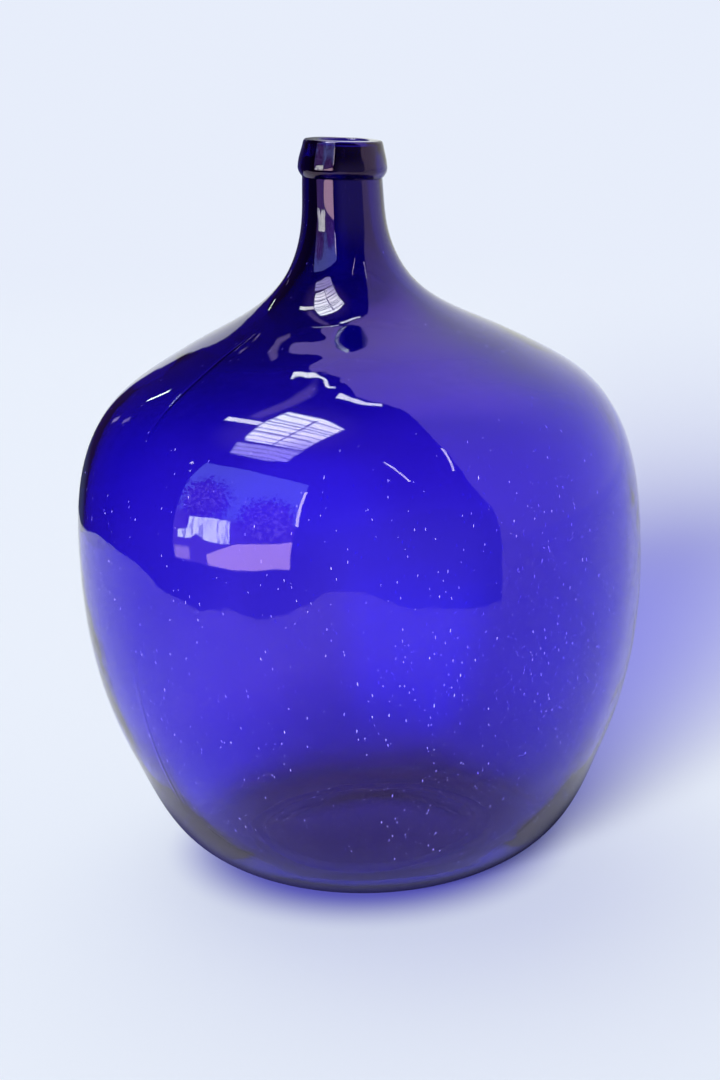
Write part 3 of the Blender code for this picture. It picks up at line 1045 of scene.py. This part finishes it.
def floor_material(stage):
    """A pale floor that takes the object's shadow near it, with a painted blue shadow round the foot,
    and is plain further out.
    """
    material, graph = new_material("pale floor")
    place = graph.add("ShaderNodeTexCoord", output="Object")
    x, y, _ = graph.parts(place)
    radius = (x * x + y * y).math("SQRT")
    seen, mirrored, _ = sight(graph)
    azimuth = x.degrees("ARCTAN2", -y)
    reach = graph.curve(azimuth, FLOOR_EDGE) + (graph.noise(place, 3.0, 3.0) - 0.5) * 0.25
    first, last = FLOOR_EDGE[0][0], FLOOR_EDGE[-1][0]
    side = graph.band(azimuth, first - 1.0, first + 1.0, last - 1.0, last + 1.0)
    beyond = graph.rise(radius, reach - 0.02, reach + 0.02) * side * mirrored

    # Painted shadow: the floor turns darker and bluer round the foot
    glow = PAINTED_FOOT_SHADOW_UNDER + (1.0 - PAINTED_FOOT_SHADOW_UNDER) * graph.rise(radius, *PAINTED_FOOT_SHADOW_START)
    near = graph.blend(graph.fall(radius, *PAINTED_FOOT_SHADOW_END) * glow, stage.pale, stage.painted_foot_shadow)
    lit = graph.add("ShaderNodeBsdfDiffuse", {"Color": near})
    plain = graph.add("ShaderNodeEmission", {"Color": stage.pale})
    far = graph.rise(radius, stage.lit_radius, stage.faded_radius)
    clear = graph.add("ShaderNodeBsdfTransparent")
    surface = graph.mixed(beyond, graph.mixed(far * seen, lit, plain), clear)
    graph.add("ShaderNodeOutputMaterial", {"Surface": surface})
    return material


def lobe(graph, ray, light):
    """One towards a soft light, given as azimuth, elevation and two widths, and nought beyond."""
    azimuth, elevation, outer, inner = light
    facing = graph.dot(ray, direction(azimuth, elevation))
    return graph.rise(facing, math.cos(math.radians(outer)), math.cos(math.radians(inner)))


def window(graph, ray, corners, soft):
    """One inside the corners, given as directions in order, and nought outside."""
    mask = 1.0
    middle = sum((direction(*corner) for corner in corners), Vector())
    for first, second in zip(corners, corners[1:] + corners[:1]):
        normal = direction(*first).cross(direction(*second)).normalized()
        if normal.dot(middle) < 0.0:
            normal = -normal
        mask = graph.rise(graph.dot(ray, normal), -soft, soft) * mask
    return mask


def strip(graph, ray, start, end, width, soft):
    """One on a straight strip between two directions, and nought off it."""
    first = direction(*start)
    second = direction(*end)
    normal = first.cross(second).normalized()
    near = graph.fall(abs(graph.dot(ray, normal)), width - soft, width + soft)
    after_first = graph.rise(graph.dot(ray, normal.cross(first)), -soft, soft)
    before_second = graph.rise(graph.dot(ray, second.cross(normal)), -soft, soft)
    return near * after_first * before_second


# Windows, as directions of their corners
DOOR = (
    (-79.8, 39.1), (-60.7, 41.6), (-21.9, 38.5), (-22.9, 32.5), (-24.6, 10.0), (-25.8, -5.7),
    (-38.8, -7.0), (-60.9, -7.4), (-76.5, -7.5), (-77.8, -3.4), (-79.2, 19.0),
)
DOOR_PATCHES = (
    ((-71.1, 8.7), (-52.1, 10.9), (-51.8, 1.0), (-62.9, 0.8), (-71.0, 4.0)),
    ((-76.0, 1.9), (-70.5, 4.2), (-66.3, 2.4), (-69.0, 0.4), (-75.4, -0.4)),
)
DOOR_GROUND = (
    (-61.6, -4.0), (-47.8, 1.6), (-24.7, 5.4), (-25.6, -5.5), (-33.5, -6.2), (-46.3, -6.8),
    (-60.9, -7.0),
)
DOOR_GROUND_LEFT = ((-76.9, -3.5), (-69.7, -2.7), (-69.3, -6.6), (-76.8, -6.8))
DOOR_SHADES = ((-66.5, 18.5, 17.0, 9.5), (-37.0, 13.5, 17.0, 10.5))
DOOR_INSIDE = ((-60.0, 60.0), (8.0, 60.0), (8.0, 6.0), (-60.0, 6.0))
SKYLIGHT = (
    (-137.0, 68.6), (-134.5, 79.8), (-55.4, 86.3), (-41.2, 63.5), (-85.6, 59.4), (-91.3, 59.7),
    (-118.7, 65.6),
)
SKYLIGHT_FOOT = (
    (-85.6, 59.4), (-45.3, 63.0), (-40.4, 62.8), (-41.3, 52.4), (-54.3, 50.0), (-63.8, 50.2),
    (-76.5, 48.3), (-87.9, 56.5),
)
GLOW = ((-127.7, 60.8), (-146.7, 64.0), (-159.3, 65.6), (-158.5, 68.3), (-142.5, 67.2), (-122.1, 65.0))

# Bars across the skylight: the directions that each runs through, and half its width
SKYLIGHT_BARS = (
    (((-127.0, 78.3), (-101.0, 76.9), (-77.0, 70.4), (-67.2, 62.2), (-63.0, 50.5)), 0.007),
    (((-121.1, 66.5), (-46.6, 80.2)), 0.006),
    (((-105.1, 63.5), (-48.5, 72.4)), 0.006),
    (((-85.6, 59.4), (-45.3, 63.0)), 0.007),
)

# The panes' rows run along the way between two directions, so many degrees apart
PANE_WAY = ((-121.1, 66.5), (-46.6, 80.2))
PANE_STEP = 3.3

# Thin lights: the directions that each runs through, half its width and how soft its edge is
STREAKS = (
    (((14.9, 54.0), (23.7, 36.5)), 0.007, 0.004),
    (((53.4, 55.9), (46.1, 38.1)), 0.007, 0.004),
    (((-149.1, 22.6), (-150.8, 27.3)), 0.005, 0.003),
    (((-22.9, 32.5), (-24.0, 22.8), (-24.8, 12.3)), 0.010, 0.004),
    (((-125.8, 54.6), (-122.2, 59.4), (-116.6, 64.9)), 0.022, 0.006),
    (((-152.8, 60.4), (-156.5, 63.55), (-161.1, 65.8), (-165.6, 67.8), (-167.9, 68.25)), 0.0026, 0.0013),
    (((-168.1, 70.1), (-174.2, 72.0), (174.3, 74.2), (162.2, 74.1)), 0.011, 0.003),
    (((-86.9, 34.2), (-86.0, 35.4)), 0.012, 0.005),
    (((-82.9, 30.1), (-82.6, 30.7)), 0.006, 0.004),
)

# Dim soft lights on the darker side, in the same way
GLEAMS = (
    (((-149.0, 8.5), (-147.8, 12.0)), 0.012, 0.010),
    (((-142.6, 16.0), (-141.6, 19.5)), 0.014, 0.012),
    (((-155.6, 46.4), (-154.0, 50.8)), 0.010, 0.005),
    (((-155.0, 37.0), (-154.6, 38.0)), 0.006, 0.004),
)

# Soft lights: azimuth, elevation, and the angles from its middle where it ends and where it is full
KEY = (-24.0, 9.0, 20.0, 7.0)
BACK = (-165.0, 56.0, 38.0, 10.0)
TOP = (-100.0, 62.0, 30.0, 8.0)
ROOF = (-85.0, 70.0, 24.0, 4.0)


# Where the darker side is dusky, low at the front and low at the back: elevations, then azimuths
DUSK_FRONT = ((-5.0, 35.0), (-30.0, 0.0))
DUSK_BACK = ((-9.0, -3.0), (-153.0, -146.0))

# Where the backdrop is bluer, in the same way, and the belt of azimuths that gives pale light
BLUE_BACKDROP = ((30.0, 58.0), (95.0, 140.0))
PALE_SIDE = (36.0, 76.0, 187.0, 227.0)


def strips(graph, ray, stops, width, soft):
    """One on a bent strip through several directions, and nought off it."""
    mask = 0.0
    for start, end in zip(stops, stops[1:]):
        mask = strip(graph, ray, start, end, width, soft).math("MAXIMUM", mask)
    return mask


def outside_door(graph, ray, stage):
    """What the large light shows: bright sky, two mottled shades, a patch and the ground."""
    _, _, z = graph.parts(ray)
    fine = graph.noise(ray, 42.0, 4.0, 0.7)
    picture = graph.blend(graph.rise(z.degrees("ARCSINE"), 9.0, 14.0), stage.door_low, stage.door_high)
    speckle = graph.blend(graph.rise(fine, 0.46, 0.64), stage.door_shade, stage.door_fleck)
    for azimuth, height, outer, inner in DOOR_SHADES:
        away = graph.dot(ray, direction(azimuth, height)).degrees("ARCCOSINE")
        mass = graph.fall(away + (fine - 0.5) * 30.0, inner, outer - 4.0)
        picture = graph.blend(mass, picture, speckle)
    picture = graph.blend(window(graph, ray, DOOR_GROUND, 0.006), picture, stage.door_ground)
    left = window(graph, ray, DOOR_GROUND_LEFT, 0.010) * 0.6
    picture = graph.blend(left, picture, stage.door_ground)
    upright = graph.vectors("MULTIPLY", ray, (38.0, 38.0, 9.0))
    texture = graph.rise(graph.noise(upright, 1.0), 0.36, 0.52) * 0.65 + 0.35
    for corners in DOOR_PATCHES:
        patch = window(graph, ray, corners, 0.006) * texture
        picture = graph.blend(patch, picture, stage.door_patch)
    return picture


def skylight(graph, ray, stage, picture):
    """The light overhead: panes in rows, crossed by bars, over a dimmer foot."""
    fading = lobe(graph, ray, (-41.2, 63.5, 15.0, 2.0)) * 0.7
    bright = graph.blend(fading, stage.skylight, stage.skylight_foot)
    across = direction(*PANE_WAY[0]).cross(direction(*PANE_WAY[1])).normalized()
    aside = graph.dot(ray, across).degrees("ARCSINE") / PANE_STEP
    rows = graph.fall(abs(aside.math("FRACT") - 0.5), 0.06, 0.20) * 0.7
    bars = rows
    for stops, width in SKYLIGHT_BARS:
        bars = strips(graph, ray, stops, width, 0.005).math("MAXIMUM", bars)
    foot = graph.blend(rows, stage.skylight_foot, stage.bars)
    picture = graph.blend(window(graph, ray, SKYLIGHT_FOOT, 0.012), picture, foot)
    glazing = graph.blend(bars, bright, stage.bars)
    return graph.blend(window(graph, ray, SKYLIGHT, 0.010), picture, glazing)


def mirror_picture(graph, ray, stage, room, backdrop, pale):
    """What polished glass mirrors: the room, the backdrop, two windows and the thin lights."""
    picture = graph.blend(lobe(graph, ray, ROOF), room, stage.roof)
    picture = graph.blend(window(graph, ray, GLOW, 0.014), picture, stage.gleam)
    for stops, width, soft in GLEAMS:
        picture = graph.blend(strips(graph, ray, stops, width, soft), picture, stage.gleam)
    picture = graph.blend(pale, picture, backdrop)
    picture = graph.blend(window(graph, ray, DOOR, 0.008), picture, outside_door(graph, ray, stage))
    picture = skylight(graph, ray, stage, picture)
    for stops, width, soft in STREAKS:
        picture = graph.blend(strips(graph, ray, stops, width, soft), picture, stage.streak)
    return picture


def world_material(stage):
    """Pale surroundings, and for what the glass mirrors a darker side with windows in it."""
    world = bpy.data.worlds.new("surroundings")
    world.use_nodes = True
    graph = Graph(world.node_tree)
    ray = graph.add("ShaderNodeTexCoord", output="Generated")
    x, y, z = graph.parts(ray)
    azimuth = x.degrees("ARCTAN2", -y)
    elevation = z.degrees("ARCSINE")
    around = (azimuth + 360.0).math("MODULO", 360.0)
    ripple = (graph.noise(ray, 24.0, 3.0) - 0.5) * 1.6
    right = graph.curve(elevation, BACKDROP_RIGHT) + ripple
    left = graph.curve(elevation, BACKDROP_LEFT) + ripple
    top = graph.curve(around, BACKDROP_TOP) + ripple * 0.5
    beside = graph.band(around, right - 0.3, right + 0.3, left - 0.3, left + 0.3)
    under = graph.fall(elevation, top - 0.2, top + 0.2)
    low_front = graph.fall(elevation, *DUSK_FRONT[0]) * graph.rise(azimuth, *DUSK_FRONT[1])
    low_back = graph.fall(elevation, *DUSK_BACK[0]) * graph.fall(azimuth, *DUSK_BACK[1])
    room = graph.blend(low_front, stage.dark, stage.dusk)
    room = graph.blend(low_back, room, stage.dusk_back)
    high = graph.rise(elevation, *BLUE_BACKDROP[0]) * graph.rise(around, *BLUE_BACKDROP[1])
    backdrop = graph.blend(high, stage.pale_low, stage.pale_high)
    mirror = mirror_picture(graph, ray, stage, room, backdrop, beside * under)
    inside = graph.blend(beside, room, stage.pale)
    inside = graph.blend(window(graph, ray, DOOR_INSIDE, 0.22), inside, stage.door_inside)

    seen, mirrored, within = sight(graph)
    light = graph.blend(graph.band(around, *PALE_SIDE), stage.dark_light, stage.pale_light)
    for place, glow in ((KEY, stage.key_light), (BACK, stage.back_light), (TOP, stage.top_light)):
        light = graph.lighter(light, lobe(graph, ray, place), glow)
    shown = graph.blend(seen, light, stage.pale)
    plain, outer, inner = (
        graph.add("ShaderNodeBackground", {"Color": picture, "Strength": 1.0})
        for picture in (shown, mirror, inside)
    )
    surface = graph.mixed(mirrored, plain, graph.mixed(within, outer, inner))
    graph.add("ShaderNodeOutputWorld", {"Surface": surface})
    return world


class SetStage(bpy.types.Operator):
    """Set the stage: pale floor, soft light from the surroundings and the camera"""

    bl_idname = "demijohn.set_stage"
    bl_label = "Set the Stage"

    def execute(self, context):
        stage = context.scene.demijohn_stage
        shape = bmesh.new()
        bmesh.ops.create_circle(shape, cap_ends=True, segments=96, radius=stage.floor_radius)
        mesh = bpy.data.meshes.new("floor")
        shape.to_mesh(mesh)
        shape.free()
        mesh.materials.append(floor_material(stage))
        floor = bpy.data.objects.new("floor", mesh)
        context.scene.collection.objects.link(floor)
        context.scene.world = world_material(stage)
        self.place_camera(context, stage)
        return {"FINISHED"}

    def place_camera(self, context, stage):
        lens = bpy.data.cameras.new("camera")
        lens.lens = stage.camera_lens
        lens.sensor_width = 36.0
        camera = bpy.data.objects.new("camera", lens)
        turn = Matrix.Rotation(math.pi / 2.0 - stage.camera_pitch, 4, "X")
        roll = Matrix.Rotation(-stage.camera_roll, 4, "Z")
        place = Matrix.Translation((0.0, -stage.camera_distance, stage.camera_height))
        camera.matrix_world = place @ turn @ roll
        context.scene.collection.objects.link(camera)
        context.scene.camera = camera
        context.scene.view_settings.view_transform = "Standard"


class DemijohnPanel(bpy.types.Panel):
    """Lists the steps and the sizes"""

    bl_idname = "VIEW3D_PT_demijohn"
    bl_label = "Demijohn"
    bl_space_type = "VIEW_3D"
    bl_region_type = "UI"
    bl_category = "Demijohn"

    def draw(self, context):
        for operator in OPERATORS:
            self.layout.operator(operator.bl_idname)
        for name in GROUPS:
            box = self.layout.box()
            group = getattr(context.scene, name)
            for key in group.__annotations__:
                box.prop(group, key)


OPERATORS = (MakeBody, MakeLip, MakeSeeds, SetStage)
GROUPS = {
    "demijohn_shape": DemijohnShape,
    "demijohn_surface": DemijohnSurface,
    "demijohn_seeds": DemijohnSeeds,
    "demijohn_glass": DemijohnGlass,
    "demijohn_stage": DemijohnStage,
}


def register():
    for kind in (*GROUPS.values(), *OPERATORS, DemijohnPanel):
        bpy.utils.register_class(kind)
    for name, kind in GROUPS.items():
        setattr(bpy.types.Scene, name, PointerProperty(type=kind))


def unregister():
    for name in GROUPS:
        delattr(bpy.types.Scene, name)
    for kind in (DemijohnPanel, *OPERATORS, *GROUPS.values()):
        bpy.utils.unregister_class(kind)


def main():
    register()
    bpy.ops.demijohn.make_body()
    bpy.ops.demijohn.make_lip()
    bpy.ops.demijohn.make_seeds()
    bpy.ops.demijohn.set_stage()


if __name__ == "__main__":
    main()
